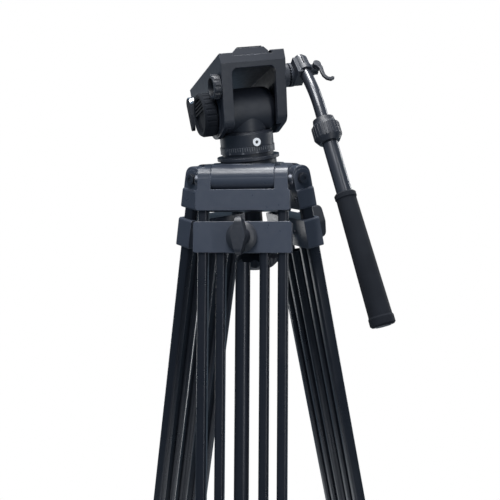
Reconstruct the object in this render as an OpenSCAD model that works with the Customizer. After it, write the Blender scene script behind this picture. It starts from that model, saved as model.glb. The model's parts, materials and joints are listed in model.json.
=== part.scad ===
// Video tripod with three twin-tube legs, a half-ball bowl and a fluid head with one pan handle.
// Millimetres, Z up. The origin is on the floor under the middle of the footprint.
// The front leg points along -Y. The legs are closed up and partly spread, the head
// leans in its bowl, is panned aside and tips forward.

/* [Legs] */
// Spread of each leg from the vertical, degrees
leg_splay = 10.9; // [6:0.1:16]
// Tripod axis to each leg hinge
hinge_r = 51.5; // [50:0.5:60]
// Leg hinge to the bottom of the foot, measured down the leg
leg_len = 750; // [690:5:860]
// Leg hinge down to the top of the sliding collar
collar_drop = 54.2; // [52:0.5:64]
// Outer tube diameter
outer_tube_d = 13; // [11:0.5:15]
// Distance between the two outer tubes, centre to centre
outer_pitch = 102.6; // [98:0.2:104]
// Inner tube diameter
inner_tube_d = 12.2; // [10:0.2:14]
// Distance between the two inner tubes, centre to centre
inner_pitch = 55.8; // [52:0.2:60]
// Centre tube diameter
centre_tube_d = 19; // [16:0.5:22]
// Wall of the leg tubes
tube_wall = 1.5; // [1:0.1:2.5]

/* [Leg castings] */
// Width of the yoke's cross-bar
yoke_w = 119.8; // [118:0.2:124]
// Height of the yoke's cross-bar
yoke_h = 26.5; // [22:0.5:32]
// Leg hinge down to the top of the cross-bar
yoke_drop = 13.7; // [13:0.1:18]
// Thickness of the yoke, front to back
yoke_t = 24.8; // [23:0.2:27]
// Thickness of each yoke ear along the hinge
ear_t = 17; // [12:0.5:19]
// Clear width between the yoke's ears
ear_gap = 81; // [76:0.5:84]
// Width of the sliding collar
collar_w = 125; // [122:0.5:130]
// Height of the sliding collar
collar_h = 39.3; // [34:0.5:46]
// Thickness of the sliding collar, front to back
collar_t = 22.8; // [22:0.2:26]
// Height of the guide block at the foot of the outer tubes
guide_h = 34; // [28:1:44]
// Width of the lower collar
lower_w = 86; // [80:1:96]
// Height of the lower collar
lower_h = 40; // [34:1:48]
// Corner radius of the leg castings
casting_r = 3; // [1.5:0.5:4]
// Hinge pin diameter
pin_d = 8; // [6:0.5:10]
// Height of the rubber foot
foot_h = 46; // [40:1:60]
// Radius of the foot's round sole
foot_r = 16; // [14:0.5:20]

/* [Wing knobs] */
// Diameter of the knob's base
knob_base_d = 39; // [32:0.5:42]
// Length of the wing, tip to tip
wing_len = 48; // [42:1:56]
// How far the wing knob stands out
wing_reach = 35; // [28:1:42]
// Width of the wing at its middle
wing_mid_w = 18; // [14:0.5:22]
// Width of the wing at its tips
wing_tip_w = 8; // [6:0.5:12]
// Diameter of the knobs' threaded studs
stud_d = 8; // [6:0.5:10]

/* [Bowl] */
// Diameter of the half ball
ball_d = 75; // [70:1:78]
// Ball centre above the leg hinges
ball_rise = 20; // [18:0.5:24]
// Wall of the bowl
bowl_wall = 8; // [6:0.5:10]
// Radius of the hinge barrels
barrel_r = 13; // [11:0.5:13.5]
// Lean of the ball in its bowl, degrees
lean = 6.4; // [0:0.2:8]
// Compass direction of the lean, degrees from +X
lean_dir = 239; // [0:1:359]
// Diameter of the tie-down stud
tie_stud_d = 12; // [10:0.5:14]
// Thickness of the tie-down cup under its hollow
cup_t = 9; // [7:0.5:12]
// Diameter of the tie-down knob
tie_knob_d = 60; // [52:1:64]
// Height of the tie-down knob
tie_knob_h = 18; // [14:1:26]
// Ball centre down to the top of the tie-down knob
tie_knob_drop = 126; // [100:1:150]

/* [Head] */
// Pan of the head, degrees anticlockwise from the front leg
pan = 28; // [0:1:359]
// Tip of the head about its tilt shaft, degrees
tip = 15.5; // [0:0.5:30]
// Flange diameter under the head
flange_d = 83; // [78:0.5:86]
// Diameter of the pan base
pan_base_d = 72.6; // [68:0.2:76]
// Height of the pan base
pan_base_h = 28; // [24:0.5:30]
// Ball centre up to the tilt shaft
shaft_rise = 68.5; // [66:0.5:76]
// Diameter of the domed column
column_d = 56; // [52:0.5:60]
// Diameter of the tilt shaft
shaft_d = 14; // [10:0.5:18]
// Outer width of the cradle
cradle_w = 85.6; // [84:0.2:92]
// Wall of the cradle's cheeks
cheek_t = 5.6; // [4.5:0.1:6]
// Tilt shaft up to the top of the cradle
cradle_top = 58; // [56:0.5:66]
// Thickness of the cradle's top
cradle_top_t = 12.5; // [10:0.5:14]
// Reach of the cradle towards the operator
cradle_near = 65; // [60:1:70]
// Reach of the cradle away from the operator
cradle_far = 88; // [80:1:96]
// Radius of the cheeks round the tilt shaft
cheek_r = 33; // [32:0.5:36]
// Width of the lips that frame the cradle's mouth
lip_w = 8; // [5:0.5:10]
// Diameter of the drag dial
dial_d = 56; // [50:1:58]
// Thickness of the drag dial
dial_t = 18; // [14:0.5:22]
// Diameter of the counterbalance knob
cap_knob_d = 31; // [26:1:34]
// Width of the quick-release plate at its foot
plate_w = 47.6; // [42:0.2:52]
// Width of the quick-release plate at its top
plate_top_w = 36.6; // [32:0.2:40]
// Length of the quick-release plate
plate_len = 112; // [90:1:120]
// Height of the quick-release plate above the cradle
plate_h = 6.5; // [5:0.5:9]
// Thread diameter of the camera screw
camera_screw_d = 6.35; // [6.35:0.01:9.53]

/* [Pan handle] */
// Slope of the handle, degrees from the cradle's upright
handle_slope = 12.3; // [0:0.1:40]
// Diameter of the bent rod
rod_d = 15; // [12:0.5:16]
// Bend of the rod, degrees
rod_bend = 15; // [5:0.5:30]
// Radius of the rod's bend
rod_bend_r = 130; // [90:5:200]
// Diameter of the handle tube
handle_tube_d = 19; // [18.6:0.1:21]
// Diameter of the twist collar
twist_d = 34; // [28:0.5:38]
// Height of the twist collar
twist_h = 31; // [24:1:36]
// Length of the rubber grip
grip_len = 160; // [120:1:180]
// Diameter of the grip at its upper end
grip_top_d = 26.5; // [24:0.5:30]
// Diameter of the grip at its lower end
grip_end_d = 30; // [26:0.5:34]

/* [Fits] */
// Radial clearance of bores round tubes, pins and studs
fit = 0.05; // [0.02:0.01:0.1]
// Gap between faces that pass each other
gap = 0.4; // [0.3:0.05:0.6]

/* [Hidden] */
$fn = 64;

// Leg heights, measured down the leg from its hinge
foot_centre = leg_len - foot_r;
yoke_bottom = yoke_drop + yoke_h;
collar_bottom = collar_drop + collar_h;
foot_top = leg_len - foot_h;
lower_bottom = foot_top - 12;
lower_top = lower_bottom - lower_h;
guide_bottom = lower_top - 8;
guide_top = guide_bottom - guide_h;
centre_top = collar_bottom + 12;
tube_seat = 20;
centre_bottom = foot_top + 28;

// The hinges' height over the floor, and the tripod axis behind the middle of the footprint
hinge_z = foot_centre * cos(leg_splay) + foot_r;
foot_reach = hinge_r + foot_centre * sin(leg_splay);
axis_y = foot_reach / 4;
ball_z = hinge_z + ball_rise;
ball_r = ball_d / 2;

barrel_len = ear_gap - 2 * gap;
ear_out = ear_gap / 2 + ear_t;
ear_r = yoke_t / 2;
bowl_r = ball_r + gap + bowl_wall;
rim_z = ball_rise;
rim_bevel = 5;
arm_root = 22;

// Head heights above the ball's centre
flange_z = 4;
flange_t = 6;
pan_z = flange_z + flange_t + 4.5;
scale_h = 9;
scale_t = 4;
screw_z = pan_z + 15;
screw_r = 4.4;
lock_knob_z = pan_z + scale_h + stud_d / 2 + 2;
column_r = column_d / 2;
drum_r = column_r + 1.5;
cheek_in = cradle_w / 2 - cheek_t;
boss_t = 7;
boss_r = 30;
dial_x = cradle_w / 2 + 1;
dial_r = dial_d / 2;
cap_x = cradle_w / 2 + boss_t - 4 + gap;
roof_z = cradle_top - cradle_top_t;
lip_t = 7;
band_drop = 6;
heel_r = 14;
heel_y = 38 - cradle_near;
heel_z = -14;
dovetail_h = 4;
lock_y = cradle_far - 13;
lock_z = roof_z - 11;
lock_r = 13;
cap_knob_y = 23 - cradle_near;
cap_knob_z = 24;
level_r = 5;
level_x = 8 - cradle_w / 2;
level_y = 17 - cradle_near;
latch_x = cradle_w / 2 - 10;
latch_y = cradle_far - 39;
screw_y = 5 + plate_len / 2 - cradle_near;
pad_t = 1.5;
pad_clear = 10;
neck_d = camera_screw_d - 1.35;
pad_len = 0.4 * plate_len;

// The handle's joint on the cradle, and the rod's run in the handle's own frame
rosette_y = 21 - cradle_near;
rosette_z = roof_z / 2 + 7;
rosette_r = 15;
tooth_count = 24;
tooth_h = 1.2;
rosette_x = cradle_w / 2 + boss_t;
clamp_t = 7;
rod_x = rosette_x + gap + clamp_t + rod_d / 2 + 1;
rod_y = -31;
bend_z = -65;
rod_stub = 47;
seam = 0.04;
lap = 0.5;
rod_tail = 230;
clamp_z = (-bend_z - rod_bend_r * sin(rod_bend)) / cos(rod_bend);
strap_z = clamp_z - 6;
lever_pin_r = 2.5;
rod_reach = 26;
twist_z = -80;
grip_z = -177;
grip_tail = 4;

module on_leg(i) {
    translate([0, axis_y, hinge_z])
        rotate([0, 0, 120 * i - 90])
            translate([hinge_r, 0, 0])
                rotate([0, -leg_splay, 0])
                    children();
}

module on_ball() {
    translate([0, axis_y, ball_z])
        rotate([0, 0, lean_dir])
            rotate([0, lean, 0])
                rotate([0, 0, -lean_dir])
                    children();
}

module on_pan() {
    on_ball() rotate([0, 0, pan]) children();
}

module on_cradle() {
    on_pan() translate([0, 0, shaft_rise]) rotate([-tip, 0, 0]) children();
}

module on_handle() {
    on_cradle()
        translate([0, rosette_y, rosette_z])
            rotate([-handle_slope, 0, 0])
                children();
}

// A cylinder along +X from x0 to x1
module x_rod(r, x0, x1) {
    translate([x0, 0, 0]) rotate([0, 90, 0]) cylinder(r = r, h = x1 - x0);
}

// A cylinder along Y, centred
module y_rod(r, len) {
    rotate([90, 0, 0]) cylinder(r = r, h = len, center = true);
}

// A block seen from the front as a rounded rectangle, its top at z
module casting_block(w, h, t, z) {
    translate([t / 2, 0, z - h / 2])
        rotate([90, 0, -90])
            linear_extrude(t)
                rounded_square(w, h, casting_r);
}

module rounded_square(w, h, r) {
    union() {
        square([w - 2 * r, h], center = true);
        square([w, h - 2 * r], center = true);
        for (sx = [-1, 1], sy = [-1, 1])
            translate([sx * (w / 2 - r), sy * (h / 2 - r)]) circle(r);
    }
}

// A hollow tube hanging from z0 down to z1
module tube(d, z0, z1) {
    translate([0, 0, -z1])
        difference() {
            cylinder(d = d, h = z1 - z0);
            translate([0, 0, -1]) cylinder(d = d - 2 * tube_wall, h = z1 - z0 + 2);
        }
}

// A bore for a tube of diameter d, from z0 down to z1
module bore(d, z0, z1) {
    translate([0, 0, -z1]) cylinder(d = d + 2 * fit, h = z1 - z0);
}

module pair(pitch) {
    for (s = [-1, 1]) translate([0, s * pitch / 2, 0]) children();
}

module bowl() {
    band_h = 14;
    color("#2b2e35")
        translate([0, axis_y, hinge_z])
            difference() {
                union() {
                    for (i = [0:2]) rotate([0, 0, 120 * i - 90]) bowl_arm();
                    difference() {
                        translate([0, 0, ball_rise]) sphere(bowl_r, $fn = 96);
                        translate([-bowl_r - 1, -bowl_r - 1, rim_z - band_h / 2]) cube(2 * bowl_r + 2);
                    }
                    translate([0, 0, rim_z - band_h]) cylinder(r = bowl_r + 1, h = band_h);
                    translate([0, 0, rim_z - band_h - 2]) linear_extrude(band_h - 4.5) bowl_outline();
                }
                translate([0, 0, ball_rise]) sphere(ball_r + gap, $fn = 96);
                translate([0, 0, rim_z - rim_bevel])
                    cylinder(r1 = ball_r - 1, r2 = bowl_r - 0.9, h = rim_bevel + 0.35);
                translate([0, 0, ball_rise - bowl_r - 1]) cylinder(r = tie_stud_d / 2 + 11, h = bowl_r);
                for (i = [0:2])
                    rotate([0, 0, 120 * i - 90])
                        translate([hinge_r, 0, 0])
                            y_rod(pin_d / 2 + fit, 2 * ear_out);
            }
}

// The plate between the arms, kept clear of the yokes' ears and just inside the arms' sides
module bowl_outline() {
    reach = hinge_r - ear_r - 2 * gap;
    half = barrel_len / 2 - 3;
    polygon([for (i = [0:2], s = [-1, 1])
        let (a = 120 * i - 90)
        [reach * cos(a) - s * half * sin(a), reach * sin(a) + s * half * cos(a)]]);
}

// One arm of the bowl, out along +X to its hinge barrel, its upper corners rounded as seen from the front
module bowl_arm() {
    corner = 13;
    height = 4 * ball_rise;
    intersection() {
        translate([hinge_r, 0, 0])
            rotate([90, 0, 0])
                linear_extrude(barrel_len, center = true)
                    arm_profile();
        translate([hinge_r - arm_root - 1, 0, rim_z - height / 2])
            rotate([90, 0, 90])
                linear_extrude(arm_root + barrel_r + 2)
                    rounded_square(barrel_len + 2, height, corner);
    }
}

// The barrel round the hinge, and the arm above it, a step below the rim, with a round front edge
module arm_profile() {
    front = 0.75 * barrel_r;
    top = rim_z - 1;
    edge_r = 4;
    union() {
        circle(barrel_r);
        translate([-arm_root, 0]) square([arm_root + front, top - edge_r]);
        translate([-arm_root, 0]) square([arm_root + front - edge_r, top]);
        translate([front - edge_r, top - edge_r]) circle(edge_r);
    }
}

module leg_hinge_pins() {
    color("#3a3d44")
        translate([0, axis_y, hinge_z])
            for (i = [0:2])
                rotate([0, 0, 120 * i - 90])
                    translate([hinge_r, 0, 0]) {
                        y_rod(pin_d / 2, 2 * (ear_out + gap + 2));
                        for (s = [-1, 1])
                            translate([0, s * (ear_out + gap + 1.5), 0]) y_rod(pin_d / 2 + 3, 3);
                    }
}

module yoke() {
    color("#3d414a")
        difference() {
            union() {
                casting_block(yoke_w, yoke_h, yoke_t, -yoke_drop);
                for (s = [-1, 1])
                    translate([0, s * (ear_gap + ear_t) / 2, 0]) {
                        y_rod(ear_r, ear_t);
                        translate([-ear_r, -ear_t / 2, -yoke_drop - casting_r])
                            cube([2 * ear_r, ear_t, yoke_drop + casting_r]);
                    }
            }
            y_rod(pin_d / 2 + fit, 2 * ear_out + 2);
            pair(outer_pitch) bore(outer_tube_d, tube_seat, yoke_bottom + 1);
        }
}

module outer_tubes() {
    color("#15161a") pair(outer_pitch) tube(outer_tube_d, tube_seat, guide_bottom - 6);
}

module slide_collar() {
    mid = (collar_drop + collar_bottom) / 2;
    color("#3d414a")
        difference() {
            casting_block(collar_w, collar_h, collar_t, -collar_drop);
            pair(outer_pitch) bore(outer_tube_d, collar_drop - 1, collar_bottom + 1);
            pair(inner_pitch) bore(inner_tube_d, collar_drop + 6, collar_bottom + 1);
            translate([0, 0, -mid]) x_rod(stud_d / 2 + fit, -2, collar_t);
        }
}

module inner_tubes() {
    color("#15161a") pair(inner_pitch) tube(inner_tube_d, collar_drop + 6, lower_bottom - 6);
}

module guide_block() {
    color("#2b2e35")
        difference() {
            casting_block(yoke_w, guide_h, yoke_t, -guide_top);
            pair(outer_pitch) bore(outer_tube_d, guide_top - 1, guide_bottom - 6);
            pair(inner_pitch) bore(inner_tube_d, guide_top - 1, guide_bottom + 1);
            bore(centre_tube_d, guide_top - 1, guide_bottom + 1);
        }
}

module lower_collar() {
    mid = (lower_top + lower_bottom) / 2;
    lower_t = centre_tube_d + 9;
    color("#3d414a")
        difference() {
            union() {
                casting_block(lower_w, lower_h, yoke_t, -lower_top);
                casting_block(knob_base_d, lower_h, lower_t, -lower_top);
            }
            pair(inner_pitch) bore(inner_tube_d, lower_top - 1, lower_bottom - 6);
            bore(centre_tube_d, lower_top - 1, lower_bottom + 1);
            translate([0, 0, -mid]) x_rod(stud_d / 2 + fit, centre_tube_d / 2, lower_t);
        }
}

module centre_tube() {
    color("#15161a") tube(centre_tube_d, centre_top, centre_bottom);
}

module foot() {
    tube_r = centre_tube_d / 2;
    color("#101012")
        translate([0, 0, -leg_len])
            difference() {
                rotate_extrude()
                    union() {
                        intersection() {
                            translate([0, foot_r]) circle(foot_r);
                            square([foot_r, foot_r]);
                        }
                        translate([0, foot_r]) square([foot_r, 7]);
                        polygon([[0, foot_r + 7], [foot_r, foot_r + 7], [tube_r + 3.5, foot_h], [0, foot_h]]);
                    }
                translate([0, 0, leg_len - centre_bottom]) cylinder(r = tube_r + fit, h = foot_h);
            }
}

// A wing knob facing +X, its base on the plane x = 0, its stud behind
module wing_knob(stud_len) {
    base_t = 7;
    union() {
        x_rod(stud_d / 2, -stud_len, 1);
        translate([gap, 0, 0])
            rotate([0, 90, 0])
                rotate_extrude()
                    polygon([[0, 0], [knob_base_d / 2 - 2, 0], [knob_base_d / 2, 2],
                        [knob_base_d / 2, base_t - 2], [knob_base_d / 2 - 3, base_t],
                        [wing_mid_w / 2 + 3, base_t + 2], [wing_mid_w / 2, wing_reach - 9],
                        [0, wing_reach - 9]]);
        intersection() {
            translate([2, 0, 0])
                rotate([90, 0, 90])
                    linear_extrude(wing_reach)
                        hull() {
                            circle(d = wing_mid_w, $fn = 32);
                            for (s = [-1, 1])
                                translate([0, s * (wing_len - wing_tip_w) / 2])
                                    circle(d = wing_tip_w, $fn = 32);
                        }
            rotate([90, 0, 0])
                linear_extrude(wing_mid_w + 2, center = true)
                    hull() {
                        for (s = [-1, 1]) {
                            translate([wing_reach - 8, s * (wing_len / 2 - 8)]) circle(8, $fn = 32);
                            translate([base_t, s * (knob_base_d / 2 - 4)]) circle(3, $fn = 32);
                        }
                    }
        }
    }
}

module upper_knob() {
    mid = (collar_drop + collar_bottom) / 2;
    color("#33363d") translate([collar_t / 2, 0, -mid]) wing_knob(collar_t / 2);
}

module lower_knob() {
    mid = (lower_top + lower_bottom) / 2;
    color("#33363d") translate([(centre_tube_d + 9) / 2, 0, -mid]) wing_knob(4);
}

module half_ball() {
    color("#1b1c20")
        on_ball()
            difference() {
                rotate_extrude($fn = 96)
                    union() {
                        intersection() {
                            circle(ball_r);
                            translate([0, -ball_r * 0.8]) square([ball_r, ball_r * 0.8 + flange_z + 1]);
                        }
                        polygon([[0, flange_z], [ball_r - 1, flange_z], [flange_d / 2, flange_z + 2],
                            [flange_d / 2, flange_z + flange_t], [0, flange_z + flange_t]]);
                        square([pan_base_d / 2 - 2, pan_z - gap]);
                        square([10, pan_z + 12]);
                    }
                translate([0, 0, -ball_r]) cylinder(r = tie_stud_d / 2 + fit, h = ball_r * 0.8);
            }
}

module tie_down_stud() {
    color("#8a8d92")
        on_ball()
            translate([0, 0, -tie_knob_drop - tie_knob_h + 5])
                cylinder(d = tie_stud_d, h = tie_knob_drop + tie_knob_h - 5 - ball_r * 0.2 - 1);
}

// The cup that the knob draws up against the underside of the bowl
module tie_down_cup() {
    inner = bowl_r + gap;
    cup_r = inner * sin(34);
    cup_z = -inner * cos(34);
    cup_foot = tie_stud_d / 2 + 10;
    color("#1b1c20")
        on_ball()
            difference() {
                rotate_extrude($fn = 96)
                    polygon([[0, cup_z], [cup_r + 4, cup_z], [cup_r + 5, cup_z - 4],
                        [cup_foot, -inner - cup_t], [0, -inner - cup_t]]);
                sphere(inner, $fn = 96);
                translate([0, 0, -inner - cup_t - 1]) cylinder(r = tie_stud_d / 2 + fit, h = 2 * cup_t);
            }
}

module tie_down_knob() {
    sleeve_top = bowl_r + gap + cup_t + gap;
    color("#1b1c20")
        on_ball()
            difference() {
                rotate_extrude($fn = 96)
                    polygon([[0, -sleeve_top], [12, -sleeve_top], [12, -tie_knob_drop + 6],
                        [tie_knob_d / 2 - 6, -tie_knob_drop], [tie_knob_d / 2, -tie_knob_drop - 5],
                        [tie_knob_d / 2, -tie_knob_drop - tie_knob_h + 7],
                        [tie_knob_d / 2 - 8, -tie_knob_drop - tie_knob_h], [0, -tie_knob_drop - tie_knob_h]]);
                translate([0, 0, -tie_knob_drop - tie_knob_h + 5 - gap])
                    cylinder(r = tie_stud_d / 2 + fit, h = tie_knob_drop);
                for (i = [0:7])
                    rotate([0, 0, 45 * i])
                        translate([tie_knob_d / 2 + 5, 0, -tie_knob_drop - tie_knob_h - 1])
                            cylinder(r = 8, h = tie_knob_h + 8);
            }
}

module pan_base() {
    r = pan_base_d / 2;
    top = pan_z + pan_base_h;
    color("#1b1c20")
        on_pan()
            difference() {
                rotate_extrude($fn = 96)
                    polygon([[0, pan_z], [r - scale_t, pan_z], [r - scale_t, pan_z + scale_h + fit],
                        [r - 0.8, pan_z + scale_h + fit], [r - 0.8, top - 3], [r - 4, top], [0, top]]);
                translate([0, 0, pan_z - 1]) cylinder(r = 10 + fit, h = 13 + gap);
                translate([0, 0, top - 6]) cylinder(r = column_r + fit, h = 7);
                translate([0, 0, shaft_rise]) x_rod(drum_r + gap, -pan_base_d, pan_base_d);
                rotate([0, 0, -90]) translate([0, 0, screw_z]) x_rod(screw_r + fit, column_r, pan_base_d);
                rotate([0, 0, 100])
                    translate([0, 0, lock_knob_z]) x_rod(stud_d / 2 + fit, column_r - 8, r + 1);
            }
}

module pan_scale_ring() {
    r = pan_base_d / 2;
    color("#26282e")
        on_pan()
            difference() {
                translate([0, 0, pan_z]) cylinder(r = r, h = scale_h, $fn = 96);
                translate([0, 0, pan_z - 1]) cylinder(r = r - scale_t + fit, h = scale_h + 2, $fn = 96);
            }
}

module pan_set_screw() {
    r = pan_base_d / 2;
    color("#d8dade")
        on_pan()
            rotate([0, 0, -90])
                translate([0, 0, screw_z])
                    difference() {
                        union() {
                            x_rod(screw_r, r - 6, r);
                            x_rod(screw_r + 0.8, r - 0.8 + gap, r + 1.6);
                        }
                        translate([r - 1, 0, 0]) rotate([0, 90, 0]) cylinder(r = 2.4, h = 5, $fn = 6);
                    }
}

module pan_lock_knob() {
    r = pan_base_d / 2;
    color("#1b1c20")
        on_pan()
            rotate([0, 0, 100])
                translate([r, 0, lock_knob_z])
                    union() {
                        x_rod(stud_d / 2, -8, 1);
                        translate([gap, 0, 0])
                            rotate([0, 90, 0])
                                rotate_extrude()
                                    polygon([[0, 0], [6, 0], [6, 5], [9, 7],
                                        [10, 9], [10, 18], [8.5, 20], [0, 20]]);
                    }
}

module tilt_column() {
    base_z = pan_z + pan_base_h - 6;
    half = cheek_in - gap;
    color("#26282e")
        on_pan()
            difference() {
                union() {
                    translate([0, 0, base_z]) cylinder(r = column_r, h = shaft_rise - base_z, $fn = 96);
                    translate([0, 0, shaft_rise])
                        rotate([0, 90, 0])
                            rotate_extrude($fn = 96) drum_profile(half);
                }
                translate([0, 0, shaft_rise]) x_rod(shaft_d / 2 + fit, -cradle_w, cradle_w);
            }
}

// Half section of the drag housing between the cheeks, its ends rounded
module drum_profile(half) {
    round_r = 11;
    union() {
        translate([0, -half]) square([drum_r - round_r, 2 * half]);
        translate([0, round_r - half]) square([drum_r, 2 * (half - round_r)]);
        for (s = [-1, 1]) translate([drum_r - round_r, s * (half - round_r)]) circle(round_r);
    }
}

module tilt_shaft() {
    color("#9a9da3")
        on_pan() translate([0, 0, shaft_rise]) x_rod(shaft_d / 2, -dial_x - 6, cap_x + 2.6);
}

module cheek_outline() {
    hull() {
        circle(cheek_r);
        translate([-cradle_near, roof_z]) square([cradle_near + cradle_far, cradle_top_t]);
        translate([heel_y, heel_z]) circle(heel_r, $fn = 32);
        translate([lock_y, lock_z]) circle(lock_r, $fn = 32);
    }
}

// The room between the cheeks, its near end parallel to their sloping edges
module cradle_room() {
    run = norm([heel_y + cradle_near, roof_z - heel_z]);
    slope = atan2(heel_y + cradle_near, roof_z - heel_z) - asin(heel_r / run);
    start = lip_t - cradle_near;
    polygon([[start, roof_z], [start + (roof_z + cradle_top) * tan(slope), -cradle_top],
        [cradle_far + 1, -cradle_top], [cradle_far + 1, roof_z]]);
}

// A ring of V-shaped teeth standing on the plane z = 0
module rosette_teeth() {
    for (i = [0:tooth_count - 1])
        rotate([0, 0, i * 360 / tooth_count])
            translate([0.6 * rosette_r, 0, 0])
                rotate([90, 0, 90])
                    linear_extrude(0.36 * rosette_r)
                        polygon([[-1.1, -1], [-1.1, 0], [0, tooth_h], [1.1, 0], [1.1, -1]]);
}

module cradle() {
    w = cradle_w;
    color("#26282e")
        on_cradle()
            difference() {
                union() {
                    difference() {
                        cradle_side(w) cheek_outline();
                        cradle_side(2 * cheek_in) cradle_room();
                        translate([0, 0, roof_z - band_drop - cradle_top])
                            rotate([90, 0, 0])
                                linear_extrude(cradle_near + 1)
                                    rounded_square(2 * (cheek_in - lip_w), 2 * cradle_top, 7);
                    }
                    x_rod(boss_r, -dial_x, -w / 2 + 1);
                    x_rod(22, w / 2 - 1, w / 2 + boss_t - 4);
                    translate([0, rosette_y, rosette_z]) {
                        x_rod(rosette_r, w / 2 - 1, rosette_x - tooth_h);
                        translate([rosette_x - tooth_h, 0, 0]) rotate([0, 90, 0]) rosette_teeth();
                    }
                }
                x_rod(shaft_d / 2 + fit, -w, w);
                translate([0, 0, cradle_top - dovetail_h])
                    rotate([90, 0, 0])
                        linear_extrude(4 * cradle_far, center = true)
                            polygon([[-plate_w / 2 - gap, dovetail_h + 1], [-plate_w / 2 - gap, dovetail_h],
                                [-plate_w / 2 - gap - 3, 0], [plate_w / 2 + gap + 3, 0],
                                [plate_w / 2 + gap, dovetail_h], [plate_w / 2 + gap, dovetail_h + 1]]);
                translate([0, rosette_y, rosette_z]) x_rod(stud_d / 2 + fit, w / 2 - 4, rosette_x + 1);
                translate([0, lock_y, lock_z]) x_rod(stud_d / 2 + fit, -w, -cheek_in + 1);
                translate([0, cap_knob_y, cap_knob_z]) x_rod(stud_d / 2 + fit, -w, -cheek_in + 1);
                translate([level_x, level_y, cradle_top - 8]) cylinder(r = level_r + fit, h = 9);
                translate([latch_x, latch_y, cradle_top - 6]) cylinder(r = 3 + fit, h = 7);
            }
}

// Extrudes an outline drawn as seen from +X across part of the cradle's width
module cradle_side(width) {
    rotate([90, 0, 90]) linear_extrude(width, center = true) children();
}

module drag_knob() {
    face_r = dial_r - 6.5;
    face_z = dial_t - 4;
    color("#1b1c20")
        on_cradle()
            translate([-dial_x - gap, 0, 0])
                rotate([0, -90, 0])
                    union() {
                        difference() {
                            rotate_extrude()
                                polygon([[0, 0], [dial_r - 2, 0], [dial_r, 2], [dial_r, dial_t - 3],
                                    [dial_r - 2, dial_t], [face_r + 1.5, dial_t], [face_r, dial_t - 1.5],
                                    [face_r, face_z], [0, face_z]]);
                            translate([0, 0, -1]) cylinder(r = shaft_d / 2 + fit, h = 8);
                            for (i = [0:23])
                                rotate([0, 0, 15 * i])
                                    translate([dial_r + 1.4, 0, 3]) cylinder(r = 2.2, h = dial_t);
                        }
                        intersection() {
                            translate([0, 0, face_z - 1]) cylinder(r = face_r + 0.5, h = 4);
                            for (i = [1:4])
                                translate([face_r * i / 5 - 1, -face_r - 1, face_z - 2])
                                    cube([2, 2 * face_r + 2, 4.5]);
                        }
                    }
}

module shaft_cap() {
    color("#1b1c20")
        on_cradle()
            translate([cap_x, 0, 0])
                difference() {
                    rotate([0, 90, 0])
                        rotate_extrude() polygon([[0, 0], [19, 0], [20, 1], [20, 4], [17, 7], [0, 7]]);
                    x_rod(shaft_d / 2 + fit, -1, 3.4);
                }
}

module tilt_lock_lever() {
    color("#1b1c20")
        on_cradle()
            translate([-cradle_w / 2 - gap, lock_y, lock_z])
                union() {
                    x_rod(stud_d / 2, -2, cheek_t);
                    x_rod(9, -8, 0);
                    hull() {
                        translate([-4, 0, 0]) x_rod(8, -6, 0);
                        translate([-8, -10, -20]) x_rod(6, -5, 0);
                    }
                    hull() {
                        translate([-8, -10, -20]) x_rod(6, -5, 0);
                        translate([-10, -13, -36]) x_rod(4.5, -4, 0);
                    }
                }
}

module counterbalance_knob() {
    r = cap_knob_d / 2;
    color("#1b1c20")
        on_cradle()
            translate([-cradle_w / 2 - gap, cap_knob_y, cap_knob_z])
                difference() {
                    union() {
                        x_rod(stud_d / 2, -2, cheek_t);
                        rotate([0, -90, 0])
                            rotate_extrude()
                                polygon([[0, 0], [r - 1, 0], [r, 1], [r, 8], [r - 1.5, 10], [r - 4, 10],
                                    [r - 5, 3.5], [0, 3.5]]);
                    }
                    for (i = [0:11])
                        rotate([30 * i + 15, 0, 0])
                            translate([-12, 0, r + 1.3]) rotate([0, 90, 0]) cylinder(r = 2.4, h = 10);
                }
}

module bubble_level() {
    color("#c9d86a")
        on_cradle()
            translate([level_x, level_y, cradle_top - 8]) cylinder(r = level_r, h = 8.6);
}

module quick_release_plate() {
    half = plate_w / 2;
    color("#26282e")
        on_cradle()
            translate([0, screw_y, cradle_top - dovetail_h])
                difference() {
                    rotate([90, 0, 0])
                        linear_extrude(plate_len, center = true)
                            polygon([[-half - 2.6, 0.1], [half + 2.6, 0.1], [half, dovetail_h - 0.3],
                                [half, dovetail_h + 1], [plate_top_w / 2, dovetail_h + plate_h],
                                [-plate_top_w / 2, dovetail_h + plate_h], [-half, dovetail_h + 1],
                                [-half, dovetail_h - 0.3]]);
                    hull()
                        for (s = [-1, 1])
                            translate([0, s * 18, -1]) cylinder(r = 6.5, h = 3.5, $fn = 32);
                    translate([0, 0, -1]) cylinder(d = camera_screw_d + 2 * fit, h = 20);
                }
}

module plate_pads() {
    color("#0e0e10")
        on_cradle()
            translate([0, screw_y, cradle_top + plate_h])
                for (s = [-1, 1])
                    translate([-plate_top_w / 2 + 2, s * (pad_len / 2 + pad_clear) - pad_len / 2, 0])
                        cube([plate_top_w - 4, pad_len, pad_t]);
}

module camera_screw() {
    thread_z = dovetail_h + plate_h + pad_t;
    color("#b9bcc2")
        on_cradle()
            translate([0, screw_y, cradle_top - dovetail_h])
                union() {
                    translate([0, 0, 0.3]) cylinder(r = 6, h = 2);
                    translate([0, 0, 1]) cylinder(d = neck_d, h = thread_z);
                    translate([0, 0, thread_z]) cylinder(d = camera_screw_d, h = 4.5);
                }
}

module plate_lock_lever() {
    color("#7d8087")
        on_cradle()
            translate([latch_x, latch_y, cradle_top])
                union() {
                    translate([0, 0, -6]) cylinder(r = 3, h = 8);
                    translate([0, 0, gap]) cylinder(r = 5.5, h = 5);
                    hull() {
                        translate([0, 0, gap]) cylinder(r = 4, h = 4, $fn = 32);
                        translate([5, 22, gap]) cylinder(r = 3, h = 4, $fn = 32);
                    }
                }
}

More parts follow.
